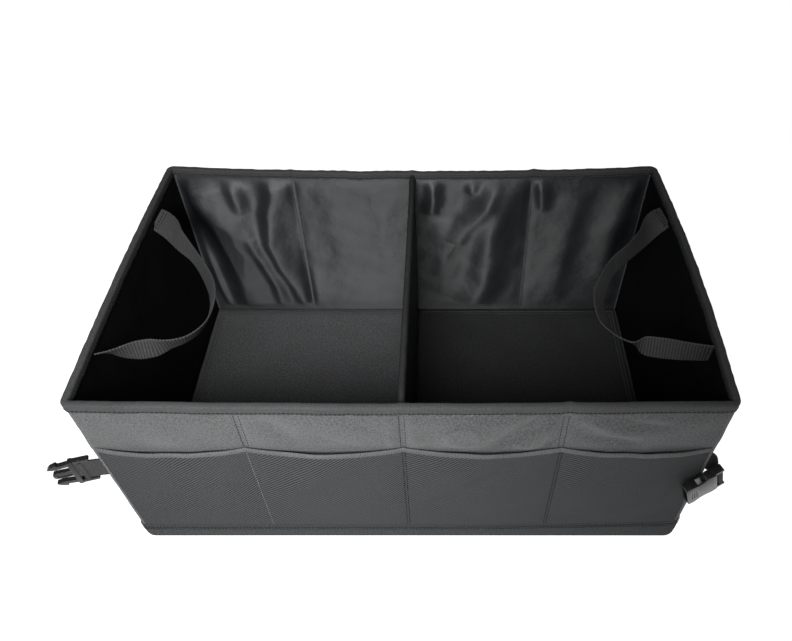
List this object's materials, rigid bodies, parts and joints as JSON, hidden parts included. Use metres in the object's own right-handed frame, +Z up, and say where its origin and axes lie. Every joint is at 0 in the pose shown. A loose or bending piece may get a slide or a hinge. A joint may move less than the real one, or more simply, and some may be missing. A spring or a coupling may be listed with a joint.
{
  "type": "car trunk organizer",
  "caption": "Open fabric trunk organizer with two compartments, mesh front pockets, webbing handles and a side-release buckle half at each front corner.",
  "frame": {"origin": "middle of the base, on the face that it stands on", "axes": "+Z up, +X along the width to the right seen from the front, -Y towards the pockets"},
  "size_m": [0.6199, 0.3517, 0.23],
  "materials": {
    "oxford": "coarse woven polyester, matte",
    "lining": "smooth nylon taffeta with a satin sheen",
    "tape": "ribbed binding tape, matte",
    "mesh": "fine knitted mesh",
    "webbing": "ribbed webbing, matte",
    "stiffener": "grey-brown board",
    "buckle": "moulded, satin"
  },
  "bodies": {
    "root": {"front_panel": "oxford", "back_panel": "oxford", "left_panel": "oxford", "right_panel": "oxford", "bottom_panel": "oxford", "front_lining": "lining", "back_lining": "lining", "left_lining": "lining", "right_lining": "lining", "front_board_1": "stiffener", "front_board_2": "stiffener", "front_board_3": "stiffener", "front_board_4": "stiffener", "back_board_1": "stiffener", "back_board_2": "stiffener", "back_board_3": "stiffener", "back_board_4": "stiffener", "left_board_front": "stiffener", "left_board_rear": "stiffener", "right_board_front": "stiffener", "right_board_rear": "stiffener", "rim_binding": "tape", "foot_band": "oxford", "divider_board_front": "stiffener", "divider_board_rear": "stiffener", "divider_cover": "lining", "divider_binding": "tape", "floor_cover_left": "oxford", "floor_board_left": "stiffener", "floor_cover_right": "oxford", "floor_board_right": "stiffener", "pocket_mesh": "mesh", "pocket_binding": "tape", "left_handle": "webbing", "right_handle": "webbing", "male_webbing": "webbing", "female_webbing": "webbing"},
    "male_half": {"male_buckle": "buckle"},
    "female_half": {"female_buckle": "buckle"}
  },
  "joints": [
    {"name": "male_swing", "type": "hinge", "parent": "root", "child": "male_half", "pos_m": [-0.296, -0.16, 0.1235], "axis": [0, 0, 1], "range_deg": [-105, 80]},
    {"name": "female_swing", "type": "hinge", "parent": "root", "child": "female_half", "pos_m": [0.287, -0.1665, 0.1235], "axis": [-0.3148, -0.1336, 0.9397], "range_deg": [-3, 165]}
  ]
}
